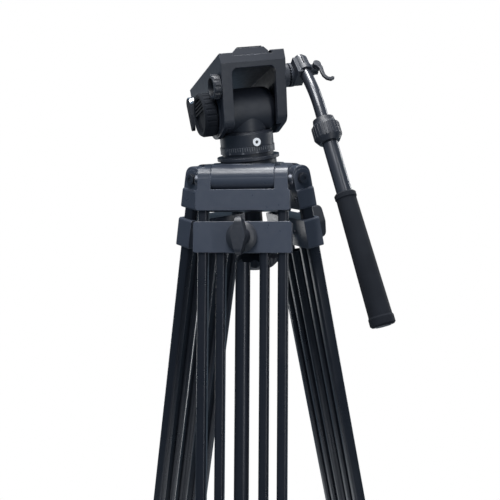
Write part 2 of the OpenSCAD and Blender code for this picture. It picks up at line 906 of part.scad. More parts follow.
// The frame of the rod's straight upper end, with the bend's end at its origin
module on_stub() {
    translate([rod_x, rod_y + rod_bend_r, bend_z])
        rotate([-rod_bend, 0, 0])
            translate([0, -rod_bend_r, 0])
                children();
}

module handle_rod() {
    color("#2e3036")
        on_handle() {
            translate([rod_x, rod_y, bend_z - rod_tail]) cylinder(d = rod_d, h = rod_tail + lap);
            translate([rod_x, rod_y + rod_bend_r, bend_z])
                rotate([90, 0, -90])
                    rotate_extrude(angle = rod_bend, $fn = 96)
                        translate([rod_bend_r, 0]) circle(d = rod_d - seam);
            on_stub() translate([0, 0, -lap]) cylinder(d = rod_d, h = rod_stub + lap);
        }
}

module handle_clamp() {
    r = rod_d / 2;
    back = rod_x - rosette_x - gap - clamp_t / 2;
    color("#26282e")
        on_handle()
            difference() {
                union() {
                    x_rod(rosette_r, rosette_x + gap + tooth_h, rosette_x + gap + clamp_t);
                    translate([rosette_x + gap + tooth_h, 0, 0]) rotate([0, -90, 0]) rosette_teeth();
                    on_stub() translate([-back, -r + 1, clamp_z - 13]) cube([back, rod_reach, 24]);
                    on_stub() translate([0, 0, strap_z - 3.5]) cylinder(r = r + 2.8, h = 7);
                    on_stub() translate([0, -5, strap_z - 4.5]) cube([r + 11, 10, 9]);
                }
                on_stub() cylinder(r = r + fit, h = 2 * rod_stub);
                on_stub() translate([r / 2, -0.8, 0]) cube([r + 20, 1.6, 2 * rod_stub]);
                on_stub()
                    translate([r + 7, 0, strap_z])
                        rotate([90, 0, 0]) cylinder(r = lever_pin_r + fit, h = 2 * rod_d, center = true);
                x_rod(stud_d / 2 + fit, rosette_x - 1, rosette_x + gap + clamp_t - 2);
            }
}

// A wing lever on the clamp's screw, swung out and down
module handle_wing_lever() {
    color("#4a4d54")
        on_handle()
            on_stub()
                translate([rod_d / 2 + 7, 0, strap_z]) {
                    rotate([90, 0, 0]) translate([0, 0, -5]) cylinder(r = lever_pin_r, h = 13);
                    rotate([90, 0, 0]) translate([0, 0, 5 + gap]) cylinder(r = 5, h = 6);
                    translate([0, -9 - gap, 0])
                        rotate([90, 0, 0])
                            linear_extrude(3.4, center = true)
                                polygon([[-3, -3], [5, -14], [9, -16], [24, -9],
                                    [23, -5], [10, -10], [4, 3]]);
                }
}

module handle_twist_collar() {
    color("#1b1c20")
        on_handle()
            translate([rod_x, rod_y, twist_z - twist_h])
                difference() {
                    rotate_extrude()
                        polygon([[0, 0], [twist_d / 2 - 4, 0], [twist_d / 2, 6], [twist_d / 2, twist_h - 9],
                            [twist_d / 2 - 3, twist_h - 6], [twist_d / 2 - 4, twist_h], [0, twist_h]]);
                    translate([0, 0, -1]) cylinder(d = rod_d + 2 * fit, h = twist_h + 2);
                }
}

module handle_tube() {
    color("#1b1c20")
        on_handle()
            translate([rod_x, rod_y, grip_z - grip_len])
                difference() {
                    cylinder(d = handle_tube_d, h = grip_len + twist_z - twist_h - grip_z - gap);
                    translate([0, 0, 3]) cylinder(d = rod_d + 2 * fit, h = 2 * grip_len);
                }
}

module handle_grip() {
    color("#101012")
        on_handle()
            translate([rod_x, rod_y, grip_z - grip_len])
                difference() {
                    rotate_extrude()
                        polygon([[0, -grip_tail], [grip_end_d / 2 - 2, -grip_tail],
                            [grip_end_d / 2, 2 - grip_tail], [grip_end_d / 2, 6], [grip_end_d / 2 - 1, 8],
                            [grip_top_d / 2 - 1, grip_len - 8], [grip_top_d / 2, grip_len - 7],
                            [grip_top_d / 2, grip_len - 2], [grip_top_d / 2 - 2, grip_len], [0, grip_len]]);
                    cylinder(r = handle_tube_d / 2 + fit, h = grip_len + 1);
                }
}

bowl();
leg_hinge_pins();
on_leg(0) yoke();  // front_yoke
on_leg(0) outer_tubes();  // front_outer_tubes
on_leg(0) slide_collar();  // front_slide_collar
on_leg(0) upper_knob();  // front_upper_knob
on_leg(0) inner_tubes();  // front_inner_tubes
on_leg(0) guide_block();  // front_guide_block
on_leg(0) lower_collar();  // front_lower_collar
on_leg(0) lower_knob();  // front_lower_knob
on_leg(0) centre_tube();  // front_centre_tube
on_leg(0) foot();  // front_foot
on_leg(1) yoke();  // right_yoke
on_leg(1) outer_tubes();  // right_outer_tubes
on_leg(1) slide_collar();  // right_slide_collar
on_leg(1) upper_knob();  // right_upper_knob
on_leg(1) inner_tubes();  // right_inner_tubes
on_leg(1) guide_block();  // right_guide_block
on_leg(1) lower_collar();  // right_lower_collar
on_leg(1) lower_knob();  // right_lower_knob
on_leg(1) centre_tube();  // right_centre_tube
on_leg(1) foot();  // right_foot
on_leg(2) yoke();  // left_yoke
on_leg(2) outer_tubes();  // left_outer_tubes
on_leg(2) slide_collar();  // left_slide_collar
on_leg(2) upper_knob();  // left_upper_knob
on_leg(2) inner_tubes();  // left_inner_tubes
on_leg(2) guide_block();  // left_guide_block
on_leg(2) lower_collar();  // left_lower_collar
on_leg(2) lower_knob();  // left_lower_knob
on_leg(2) centre_tube();  // left_centre_tube
on_leg(2) foot();  // left_foot
half_ball();
tie_down_stud();
tie_down_cup();
tie_down_knob();
pan_base();
pan_scale_ring();
pan_set_screw();
pan_lock_knob();
tilt_column();
tilt_shaft();
cradle();
drag_knob();
tilt_lock_lever();
counterbalance_knob();
shaft_cap();
bubble_level();
quick_release_plate();
plate_pads();
camera_screw();
plate_lock_lever();
handle_clamp();
handle_wing_lever();
handle_rod();
handle_twist_collar();
handle_tube();
handle_grip();
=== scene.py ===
import json
import math

import bmesh
import bpy
from mathutils import Matrix, Vector


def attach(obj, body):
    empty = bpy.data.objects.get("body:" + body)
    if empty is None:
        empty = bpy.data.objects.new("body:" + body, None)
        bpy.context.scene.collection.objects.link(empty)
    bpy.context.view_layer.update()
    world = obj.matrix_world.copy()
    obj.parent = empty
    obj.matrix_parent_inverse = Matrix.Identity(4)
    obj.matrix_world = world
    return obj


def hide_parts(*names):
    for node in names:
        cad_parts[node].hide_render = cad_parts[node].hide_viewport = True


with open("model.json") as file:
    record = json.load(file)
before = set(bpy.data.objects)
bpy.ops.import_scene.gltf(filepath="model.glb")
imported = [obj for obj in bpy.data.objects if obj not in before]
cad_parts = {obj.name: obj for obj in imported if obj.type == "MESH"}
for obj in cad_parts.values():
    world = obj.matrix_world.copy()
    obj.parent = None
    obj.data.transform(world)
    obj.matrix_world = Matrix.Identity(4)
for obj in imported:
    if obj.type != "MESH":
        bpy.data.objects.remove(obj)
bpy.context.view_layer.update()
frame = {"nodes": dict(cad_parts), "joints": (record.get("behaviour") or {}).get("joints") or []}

# The frame is in metres. Pieces are drawn in millimetres, in the axes of the part that they sit on,
# and so are all lengths below, unless a comment says metres.
MM = 0.001
JOINTS = {joint["name"]: joint for joint in frame["joints"]}
NODES = frame["nodes"]
LEGS = ("front", "right", "left")


# ---------------------------------------------------------------- frames of the parts

def at(joint):
    """A joint's place, in metres."""
    return Vector(JOINTS[joint]["pos_m"])


def along(joint):
    """The direction of a joint's axis."""
    return Vector(JOINTS[joint]["axis"]).normalized()


def basis(origin, x, y, z):
    """The matrix from a part's own axes, with its origin in metres, to the shared frame."""
    rows = [[x[i], y[i], z[i], origin[i]] for i in range(3)]
    return Matrix(rows + [[0, 0, 0, 1]])


def spin(matrix, degrees, axis="Z"):
    """A frame turned about one of its own axes."""
    return matrix @ Matrix.Rotation(math.radians(degrees), 4, axis)


def shift(matrix, x=0, y=0, z=0):
    """A frame moved along its own axes."""
    return matrix @ Matrix.Translation(Vector((x, y, z)) * MM)


def leg_frame(leg):
    """A leg's axes at its hinge: z up along the leg, y along the hinge."""
    z = -along(leg + "_slider_travel")
    y = -along(leg + "_leg_splay")
    return basis(at(leg + "_leg_splay"), y.cross(z), y, z)


def arm_frame(leg):
    """The axes of the bowl's arm at a leg's hinge: z straight up, y along the hinge."""
    z = Vector((0, 0, 1))
    y = -along(leg + "_leg_splay")
    return basis(at(leg + "_leg_splay"), y.cross(z), y, z)


def head_frame(origin, z):
    """Axes in the head, with x along the tilt shaft."""
    x = along("tilt")
    return basis(origin, x, z.cross(x), z)


def span(place, node):
    """How far a node reaches along x, y and z of a frame: three pairs of low and high."""
    inward = place.inverted()
    points = [inward @ v.co / MM for v in NODES[node].data.vertices]
    return [(min(p[i] for p in points), max(p[i] for p in points)) for i in range(3)]


def middle(pair):
    """Halfway between a span's low and high."""
    return sum(pair) / 2


# The handle's rod bends above the twist collar: how far above, by how many degrees, how wide.
ROD_BEND_UP = 15
ROD_BEND = 15
ROD_BEND_R = 130

HINGES = sum((at(leg + "_leg_splay") for leg in LEGS), Vector()) / 3
PAN = head_frame(at("pan_turn"), along("pan_turn"))
CRADLE = head_frame(at("tilt"), along("tilt").cross(along("plate_slide")))
GRIP = head_frame(at("twist_turn"), -along("handle_extend"))
STUB = shift(spin(shift(GRIP, 0, ROD_BEND_R, ROD_BEND_UP), -ROD_BEND, "X"), 0, -ROD_BEND_R, 0)


# ---------------------------------------------------------------- materials

MIX_A, MIX_B, MIX_RESULT = 6, 7, 2      # the colour sockets of a Mix node


def scaled(colour, gain, more=0.0):
    """A lighter or darker colour: each channel times gain, plus more."""
    return tuple(gain * c + more for c in colour)


class Finish:
    """A procedural material: a Principled shader with nodes that vary colour, roughness and bump."""

    def __init__(self, name, colour, rough, metallic=0.0, specular=0.5, coat=0.0, coat_rough=0.1):
        self.name = name
        self.material = bpy.data.materials.new(name)
        self.material.use_nodes = True
        self.tree = self.material.node_tree
        self.shader = self.tree.nodes["Principled BSDF"]
        self.colour = colour
        inputs = self.shader.inputs
        inputs["Base Color"].default_value = (*colour, 1)
        inputs["Roughness"].default_value = rough
        inputs["Metallic"].default_value = metallic
        inputs["Specular IOR Level"].default_value = specular
        inputs["Coat Weight"].default_value = coat
        inputs["Coat Roughness"].default_value = coat_rough
        self.place = self.add("ShaderNodeTexCoord").outputs["Object"]
        self.normal = None

    def add(self, kind, **values):
        node = self.tree.nodes.new(kind)
        for key, value in values.items():
            setattr(node, key, value)
        return node

    def link(self, a, b):
        self.tree.links.new(a, b)

    def stretched(self, size, direction=None):
        """Object coordinates counted in a size per axis, with z turned to a direction."""
        mapping = self.add("ShaderNodeMapping", vector_type="TEXTURE")
        if direction is not None:
            mapping.inputs["Rotation"].default_value = direction.to_track_quat("Z", "Y").to_euler()
        mapping.inputs["Scale"].default_value = [s * MM for s in size]
        self.link(self.place, mapping.inputs["Vector"])
        return mapping.outputs["Vector"]

    def noise(self, scale, detail, vector=None):
        node = self.add("ShaderNodeTexNoise")
        node.inputs["Scale"].default_value = scale
        node.inputs["Detail"].default_value = detail
        self.link(vector or self.place, node.inputs["Vector"])
        return node.outputs["Fac"]

    def cells(self, scale):
        node = self.add("ShaderNodeTexVoronoi")
        node.inputs["Scale"].default_value = scale
        self.link(self.place, node.inputs["Vector"])
        return node.outputs["Distance"]

    def spread(self, value, low, high, to_low=0.0, to_high=1.0):
        """Maps the range from low to high onto the range from to_low to to_high."""
        node = self.add("ShaderNodeMapRange")
        for key, number in (("From Min", low), ("From Max", high), ("To Min", to_low), ("To Max", to_high)):
            node.inputs[key].default_value = number
        self.link(value, node.inputs["Value"])
        return node.outputs["Result"]

    def tint(self, fac, colour):
        """Mixes the base colour so far with another, by fac."""
        node = self.add("ShaderNodeMix", data_type="RGBA")
        socket = self.shader.inputs["Base Color"]
        if socket.links:
            self.link(socket.links[0].from_socket, node.inputs[MIX_A])
        else:
            node.inputs[MIX_A].default_value = (*self.colour, 1)
        node.inputs[MIX_B].default_value = (*colour, 1)
        self.link(fac, node.inputs["Factor"])
        self.link(node.outputs[MIX_RESULT], socket)
        return self

    def mottle(self, scale, detail, low, high, amount, colour):
        """Patches of another colour, which grow to that amount as a noise goes from low to high."""
        return self.tint(self.spread(self.noise(scale, detail), low, high, 0, amount), colour)

    def rough(self, scale, detail, low, high):
        """Roughness that wanders between low and high."""
        wander = self.spread(self.noise(scale, detail), 0.25, 0.75, low, high)
        self.link(wander, self.shader.inputs["Roughness"])
        return self

    def bump(self, height, distance, strength=1.0):
        """Adds a bump on top of the normal so far."""
        node = self.add("ShaderNodeBump")
        node.inputs["Distance"].default_value = distance * MM
        node.inputs["Strength"].default_value = strength
        self.link(height, node.inputs["Height"])
        if self.normal:
            self.link(self.normal, node.inputs["Normal"])
        self.normal = node.outputs["Normal"]
        self.link(self.normal, self.shader.inputs["Normal"])
        return self

    def bevelled(self, radius):
        """A normal that is rounded over the edges."""
        bevel = self.add("ShaderNodeBevel", samples=4)
        bevel.inputs["Radius"].default_value = radius * MM
        return bevel.outputs["Normal"]

    def soften(self, radius):
        """Shades the edges as rounded, under any bump that follows."""
        self.normal = self.bevelled(radius)
        self.link(self.normal, self.shader.inputs["Normal"])
        return self

    def edge(self, radius, colour, amount):
        """Lighter colour along edges, where the bevelled normal turns away from the face's own: rubbed
        wear, and a painted edge highlight.
        """
        dot = self.add("ShaderNodeVectorMath", operation="DOT_PRODUCT")
        face = self.add("ShaderNodeNewGeometry")
        self.link(self.bevelled(radius), dot.inputs[0])
        self.link(face.outputs["Normal"], dot.inputs[1])
        # The edge mask, patched by noise: partly rubbed wear, partly a painted highlight on the rounded
        # edge.
        worn = self.spread(dot.outputs["Value"], 0.985, 0.90)
        patch = self.spread(self.noise(55, 4), 0.42, 0.62, 0, amount)
        both = self.add("ShaderNodeMath", operation="MULTIPLY")
        self.link(worn, both.inputs[0])
        self.link(patch, both.inputs[1])
        return self.tint(both.outputs[0], colour)


# In mottle and rough, a noise's scale and detail come first.

def paint(name, colour, light, rough, grain, depth):
    """Powder coat on a casting: fine orange peel, a little mottling, edges rubbed and lightened as a
    painted highlight.
    """
    f = Finish(name, colour, rough).soften(1.1)
    f.mottle(22, 3, 0.35, 0.7, 0.5, light)
    # Much lighter edges: rubbed wear and a painted edge highlight.
    f.edge(0.9, scaled(light, 4, 0.05), 0.75)
    f.rough(140, 3, rough - 0.05, rough + 0.08)
    return f.bump(f.noise(grain, 2), depth)


def anodised(name, colour, direction, coat=0.0):
    """Drawn and anodised tube: hair lines along it, and roughness that wanders."""
    f = Finish(name, colour, 0.3, metallic=0.35, coat=coat, coat_rough=0.14)
    lines = f.noise(1, 3, f.stretched((0.9, 0.9, 120), direction))
    f.tint(f.spread(lines, 0.4, 0.75, 0, 0.35), scaled(colour, 1.7, 0.004))
    f.rough(30, 4, 0.24, 0.38)
    return f.bump(lines, 0.012, 0.6)


def moulded(name, colour, rough):
    """Moulded plastic with its fine spark-eroded grain."""
    f = Finish(name, colour, rough).soften(0.8)
    f.mottle(45, 3, 0.4, 0.7, 0.4, scaled(colour, 1.6, 0.003))
    # Lighter edges: rubbed wear and a painted edge highlight.
    f.edge(0.7, scaled(colour, 3, 0.02), 0.35)
    f.rough(300, 3, rough - 0.06, rough + 0.08)
    return f.bump(f.noise(1500, 2), 0.02)


def foam(name, colour):
    """Closed-cell foam rubber: small cells, broad soft scuffs."""
    f = Finish(name, colour, 0.85, specular=0.15)
    f.shader.inputs["Sheen Weight"].default_value = 0.03
    f.shader.inputs["Sheen Roughness"].default_value = 0.5
    f.mottle(18, 4, 0.45, 0.75, 0.5, scaled(colour, 1.9, 0.004))
    f.bump(f.cells(1300), 0.12, 0.8)
    return f.bump(f.noise(90, 3), 0.15, 0.6)


def metal(name, colour, rough, scratch, metallic=1.0):
    """Bare or plated metal, with faint scratches of that size per axis."""
    f = Finish(name, colour, rough, metallic=metallic)
    f.rough(160, 4, rough * 0.7, rough * 1.6)
    f.mottle(60, 3, 0.4, 0.7, 0.3, scaled(colour, 0.8))
    return f.bump(f.noise(1, 3, f.stretched(scratch)), 0.004, 0.5)


def fluid(name, colour, light):
    """The bubble level's dyed spirit under its clear dome."""
    f = Finish(name, colour, 0.06, coat=1.0, coat_rough=0.03)
    f.shader.inputs["Transmission Weight"].default_value = 0.35
    return f.mottle(400, 2, 0.4, 0.7, 0.3, light)


def ink(name, colour, worn):
    """Printed marks, worn through here and there."""
    return Finish(name, colour, 0.55).mottle(700, 3, 0.45, 0.65, 0.45, worn)


FINISHES = [
    paint("casting_grey", (0.036, 0.043, 0.060), (0.046, 0.053, 0.071), 0.31, 950, 0.03),
    paint("head_black", (0.015, 0.018, 0.026), (0.020, 0.024, 0.034), 0.46, 1100, 0.035),
    moulded("knob_black", (0.014, 0.016, 0.022), 0.42),
    foam("rubber_black", (0.006, 0.0075, 0.011)),
    metal("steel", (0.42, 0.42, 0.43), 0.3, (0.6, 0.6, 8)),
    metal("steel_dark", (0.09, 0.095, 0.11), 0.38, (0.6, 0.6, 8)),
    metal("chrome", (0.82, 0.83, 0.85), 0.09, (2, 2, 2)),
    metal("lever_steel", (0.55, 0.55, 0.56), 0.26, (0.5, 6, 0.5)),
    metal("zinc", (0.88, 0.89, 0.91), 0.42, (1, 1, 1), metallic=0.35),
    anodised("rod_black", (0.024, 0.026, 0.034), GRIP.to_3x3().col[2], coat=0.8),
    *(anodised("tube_" + leg, (0.0115, 0.0135, 0.0195), leg_frame(leg).to_3x3().col[2]) for leg in LEGS),
    fluid("level_fluid", (0.55, 0.72, 0.10), (0.72, 0.85, 0.25)),
    ink("scale_mark", (0.30, 0.31, 0.33), (0.09, 0.095, 0.11)),
]
FINISH = {finish.name: finish.material for finish in FINISHES}


def dress(obj, material):
    obj.data.materials.clear()
    obj.data.materials.append(material)


# The finish of a node: by its whole name, or else by the end of its name, or else head_black.
BY_NAME = {
    "bowl": "casting_grey",
    "leg_hinge_pins": "steel_dark",
    "tie_down_stud": "steel",
    "tilt_shaft": "steel",
    "camera_screw": "steel",
    "pan_set_screw": "zinc",
    "bubble_level": "level_fluid",
    "plate_lock_lever": "lever_steel",
    "plate_pads": "rubber_black",
    "drag_knob": "rubber_black",
    "tilt_lock_lever": "rubber_black",
    "handle_grip": "rubber_black",
    "handle_twist_collar": "knob_black",
    "handle_rod": "rod_black",
    "handle_tube": "rod_black",
}
BY_ENDING = {
    "_yoke": "casting_grey",
    "_slide_collar": "casting_grey",
    "_lower_collar": "casting_grey",
    "_guide_block": "casting_grey",
    "_knob": "knob_black",
    "_foot": "rubber_black",
}


def node_finish(name):
    if name.endswith(("_tubes", "_centre_tube")):
        return "tube_" + name.split("_")[0]
    if name in BY_NAME:
        return BY_NAME[name]
    return next((finish for ending, finish in BY_ENDING.items() if name.endswith(ending)), "head_black")


for name, obj in NODES.items():
    dress(obj, FINISH[node_finish(name)])


# ---------------------------------------------------------------- camera, light and floor, in metres

# The camera, matched to the photo: where it stands from its target, and which way it looks.
TARGET = Vector((0, HINGES.y, HINGES.z))
CAMERA_OUT = 0.9442
CAMERA_UP = 0.0455
AZIMUTH = math.radians(7.97)
YAW = AZIMUTH + math.radians(0.043)
PITCH = math.radians(8.684)
ROLL = math.radians(1.124)
SENSOR_MM = 36
LENS_MM = 50.23008
CLIP_END = 100

# Each light's size and power in watts, its place, and the point that it is aimed at.
LIGHTS = {
    "key_front": ((1.1, 0.7), 30, (-0.35, -1.15, 2.25), (0, 0.05, 0.75)),
    "top": ((0.5, 0.9), 34, (0, 0, 2.1), (0, 0.05, 0.75)),
    "rim_left": ((0.12, 0.8), 3, (-1.1, 1.0, 0.35), (0, 0.05, 0.4)),
    "rim_right": ((0.12, 1.8), 8, (1.1, 1.0, 0.9), (0, 0.05, 0.6)),
    "strip": ((0.05, 1.5), 5, (0.75, -0.9, 0.9), (0.1, 0, 0.75)),
}
ROOM_COLOUR = (0.55, 0.76, 1.0, 1)
ROOM_STRENGTH = 0.24
WHITE = (1, 1, 1, 1)

FLOOR_REACH = 1.5
FLOOR_DROP = 0.0005
FADE_START, FADE_END = 0.28, 0.62       # the floor fades into the background between these radii


def show(name, data):
    """A new object of that data, in the scene."""
    obj = bpy.data.objects.new(name, data)
    bpy.context.scene.collection.objects.link(obj)
    return obj


def set_camera():
    data = bpy.data.cameras.new("camera")
    data.sensor_width = SENSOR_MM
    data.lens = LENS_MM
    data.clip_end = CLIP_END
    camera = show("camera", data)
    look = Vector((-math.sin(YAW) * math.cos(PITCH), math.cos(YAW) * math.cos(PITCH), -math.sin(PITCH)))
    level_right = Vector((math.cos(YAW), math.sin(YAW), 0))
    level_up = level_right.cross(look)
    right = math.cos(ROLL) * level_right - math.sin(ROLL) * level_up
    up = math.sin(ROLL) * level_right + math.cos(ROLL) * level_up
    stand = TARGET + Vector((math.sin(AZIMUTH) * CAMERA_OUT, -math.cos(AZIMUTH) * CAMERA_OUT, CAMERA_UP))
    camera.matrix_world = basis(stand, right, up, -look)
    bpy.context.scene.camera = camera


def area_light(name, size, power, place, aim):
    data = bpy.data.lights.new(name, "AREA")
    data.shape = "RECTANGLE"
    data.size, data.size_y = size
    data.energy = power
    light = show(name, data)
    light.location = place
    light.rotation_euler = (Vector(aim) - Vector(place)).to_track_quat("-Z", "Y").to_euler()


def set_world():
    """A dim bluish room that lights the object, with plain white behind it for the camera."""
    world = bpy.data.worlds.new("world")
    bpy.context.scene.world = world
    world.use_nodes = True
    nodes, links = world.node_tree.nodes, world.node_tree.links
    room = nodes["Background"]
    room.inputs["Color"].default_value = ROOM_COLOUR
    room.inputs["Strength"].default_value = ROOM_STRENGTH
    backdrop = nodes.new("ShaderNodeBackground")
    backdrop.inputs["Color"].default_value = WHITE
    seen = nodes.new("ShaderNodeLightPath")
    either = nodes.new("ShaderNodeMixShader")
    links.new(seen.outputs["Is Camera Ray"], either.inputs[0])
    links.new(room.outputs[0], either.inputs[1])
    links.new(backdrop.outputs[0], either.inputs[2])
    links.new(either.outputs[0], nodes["World Output"].inputs["Surface"])


def floor_finish():
    """Pale card that turns clear away from the object."""
    f = Finish("floor", (0.86, 0.87, 0.88), 0.7, specular=0.2)
    f.bump(f.noise(60, 4), 0.05)
    radius = f.add("ShaderNodeVectorMath", operation="LENGTH")
    f.link(f.place, radius.inputs[0])
    fade = f.spread(radius.outputs["Value"], FADE_START, FADE_END)
    fade.node.interpolation_type = "SMOOTHSTEP"
    clear = f.add("ShaderNodeBsdfTransparent")
    card = f.add("ShaderNodeMixShader")
    f.link(fade, card.inputs[0])
    f.link(f.shader.outputs[0], card.inputs[1])
    f.link(clear.outputs[0], card.inputs[2])
    f.link(card.outputs[0], f.tree.nodes["Material Output"].inputs["Surface"])
    return f.material


def make_floor():
    mesh = bpy.data.meshes.new("floor")
    corners = [(x * FLOOR_REACH, y * FLOOR_REACH, 0) for x, y in ((-1, -1), (1, -1), (1, 1), (-1, 1))]
    mesh.from_pydata(corners, [], [(0, 1, 2, 3)])
    sheet = show("floor", mesh)
    sheet.location = (0, 0, -FLOOR_DROP)
    dress(sheet, floor_finish())
    return sheet


set_camera()
for name, values in LIGHTS.items():
    area_light(name, *values)
bpy.context.scene.view_settings.view_transform = "Standard"
set_world()
floor = make_floor()


# ---------------------------------------------------------------- drawing in millimetres

def turn(degrees, axis="Z"):
    return Matrix.Rotation(math.radians(degrees), 4, axis)


def move(x=0, y=0, z=0):
    return Matrix.Translation((x, y, z))


def arc(x, y, r, start, stop, steps):
    """Points on a circle about (x, y), from one angle to another in degrees."""
    angles = [math.radians(start + (stop - start) * k / steps) for k in range(steps + 1)]
    return [(x + r * math.cos(a), y + r * math.sin(a)) for a in angles]


def lathe(bm, profile, steps=48, matrix=Matrix(), ring=False):
    """Turns a profile of (radius, height) about z; ring joins its last point to its first."""
    rows = []
    for r, z in profile:
        turns = [2 * math.pi * k / steps for k in range(steps if r > 0 else 1)]
        rows.append([bm.verts.new(matrix @ Vector((r * math.cos(a), r * math.sin(a), z))) for a in turns])
    pairs = list(zip(rows, rows[1:])) + ([(rows[-1], rows[0])] if ring else [])
    for a, b in pairs:
        for k in range(steps):
            corners = [a[k % len(a)], a[(k + 1) % len(a)], b[(k + 1) % len(b)], b[k % len(b)]]
            corners = list(dict.fromkeys(corners))
            if len(corners) > 2:
                bm.faces.new(corners)


def prism(bm, outline, z0, z1, matrix=Matrix()):
    """Extrudes a flat outline of (x, y) from z0 to z1."""
    low = [bm.verts.new(matrix @ Vector((x, y, z0))) for x, y in outline]
    high = [bm.verts.new(matrix @ Vector((x, y, z1))) for x, y in outline]
    bm.faces.new(low[::-1])
    bm.faces.new(high)
    for k in range(len(low)):
        n = (k + 1) % len(low)
        bm.faces.new([low[k], low[n], high[n], high[k]])


SCREW_STEPS = 36
SCREW_ROUND = 0.4                       # the rounding of a screw head's rim
SOCKET_FLOOR = 0.25                     # the socket's floor, as a share of the head's height


def socket_screw(bm, r, h, key, matrix=Matrix()):
    """A cap screw head standing on z = 0, with a hexagon socket of that key radius."""
    rim, cut = r - SCREW_ROUND, 0.3 * SCREW_ROUND
    lathe(bm, [(0, 0), (r, 0), (r, h - SCREW_ROUND), (r - cut, h - cut), (rim, h)], SCREW_STEPS, matrix)
    corners = [Vector((x, y, 0)) for x, y in arc(0, 0, key, 0, 360, 6)]
    per_side = SCREW_STEPS // 6
    hexagon = [corners[s].lerp(corners[s + 1], k / per_side) for s in range(6) for k in range(per_side)]
    circle = arc(0, 0, rim, 0, 360, SCREW_STEPS)[:-1]
    rows = [[bm.verts.new(matrix @ Vector((x, y, h))) for x, y in circle]]
    for z in (h, SOCKET_FLOOR * h):
        rows.append([bm.verts.new(matrix @ (p + Vector((0, 0, z)))) for p in hexagon])
    for a, b in zip(rows, rows[1:]):
        for k in range(SCREW_STEPS):
            n = (k + 1) % SCREW_STEPS
            bm.faces.new([a[k], a[n], b[n], b[k]])
    bm.faces.new(rows[-1])


# ---------------------------------------------------------------- setting up a piece

WELD = 0.0005                           # points nearer than this become one, before the scaling to metres
BEVEL_SEGMENTS = 2
BEVEL_ANGLE = 40                        # a bevel rounds the edges that turn by more degrees than this


def as_object(name, bm):
    mesh = bpy.data.meshes.new(name)
    bm.to_mesh(mesh)
    bm.free()
    return show(name, mesh)


def round_edges(obj, radius):
    rounding = obj.modifiers.new("rounding", "BEVEL")
    rounding.width = radius * MM
    rounding.segments = BEVEL_SEGMENTS
    rounding.limit_method = "ANGLE"
    rounding.angle_limit = math.radians(BEVEL_ANGLE)


def piece(name, body, finish, place, draw, crease=32, bevel=0.0):
    """Draws a piece in a part's own frame and sets it riding on that part's body."""
    bm = bmesh.new()
    draw(bm)
    bmesh.ops.remove_doubles(bm, verts=bm.verts, dist=WELD)
    bmesh.ops.recalc_face_normals(bm, faces=bm.faces)
    bm.transform(place @ Matrix.Scale(MM, 4))
    for face in bm.faces:
        face.smooth = True
    for edge in bm.edges:
        edge.smooth = edge.calc_face_angle(0) < math.radians(crease)
    obj = as_object(name, bm)
    if bevel:
        round_edges(obj, bevel)
    dress(obj, FINISH[finish])
    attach(obj, body)
    return obj


# ---------------------------------------------------------------- leg tubes

# Per kind of tube: the body, how far its two tubes stand apart, and each one's width and depth.
OUTER_APART = 102.6
INNER_APART = 55.8
TUBES = {"outer": ("leg", OUTER_APART, 13.0, 16.4), "inner": ("slider", INNER_APART, 12.2, 15.4)}
TUBE_ROUND = 0.3                        # the rounding of a tube's corners, as a share of its width


def rounded(width, depth, r):
    """A rounded rectangle's outline, depth along x and width along y."""
    outline = []
    for k, (sx, sy) in enumerate(((1, 1), (-1, 1), (-1, -1), (1, -1))):
        outline += arc(sx * (depth / 2 - r), sy * (width / 2 - r), r, 90 * k, 90 * (k + 1), 5)
    return outline


def tube_pair(low, high, apart, width, depth):
    """Two drawn tubes of a deep section, with large rounds between their faces."""
    def draw(bm):
        for side in (-1, 1):
            prism(bm, rounded(width, depth, TUBE_ROUND * width), low, high, move(y=side * apart / 2))
    return draw


for leg in LEGS:
    for kind, (body, *sizes) in TUBES.items():
        node = f"{leg}_{kind}_tubes"
        low, high = span(leg_frame(leg), node)[2]
        tubes = piece(f"{leg}_{kind}_profile", f"{leg}_{body}", "tube_" + leg, leg_frame(leg),
                      tube_pair(low, high, *sizes), crease=50)
        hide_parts(node)


# ---------------------------------------------------------------- ears of the yokes

EAR_R = 12.3
EAR_THICK = 16.7
EAR_CENTRE = 49.0
CROWN_Z = 4.8                           # the centre of the crown's arc, above the hinge
CROWN_ROUND = 3.4
CROWN_FOOT = -4.0
CROWN_STEPS = 24
ROUND_STEPS = 6


def crown_rows(centre):
    """Points over an ear's top, row by row along the hinge, its corners rounded as seen from the front."""
    half = EAR_THICK / 2
    top = CROWN_Z + EAR_R
    across = [-EAR_R * math.cos(math.pi * i / CROWN_STEPS) for i in range(CROWN_STEPS + 1)]
    quarter = [math.pi / 2 * i / ROUND_STEPS for i in range(ROUND_STEPS + 1)]
    ys = [-half + CROWN_ROUND * (1 - math.cos(a)) for a in quarter]
    ys += [-y for y in reversed(ys)]
    rows = []
    for y in ys:
        past = max(0.0, abs(y) - (half - CROWN_ROUND))
        limit = top - CROWN_ROUND + math.sqrt(max(0.0, CROWN_ROUND ** 2 - past ** 2))
        heights = [min(limit, CROWN_Z + math.sqrt(max(0.0, EAR_R ** 2 - x * x))) for x in across]
        rows.append([(x, centre + y, z) for x, z in zip(across, heights)])
    return rows


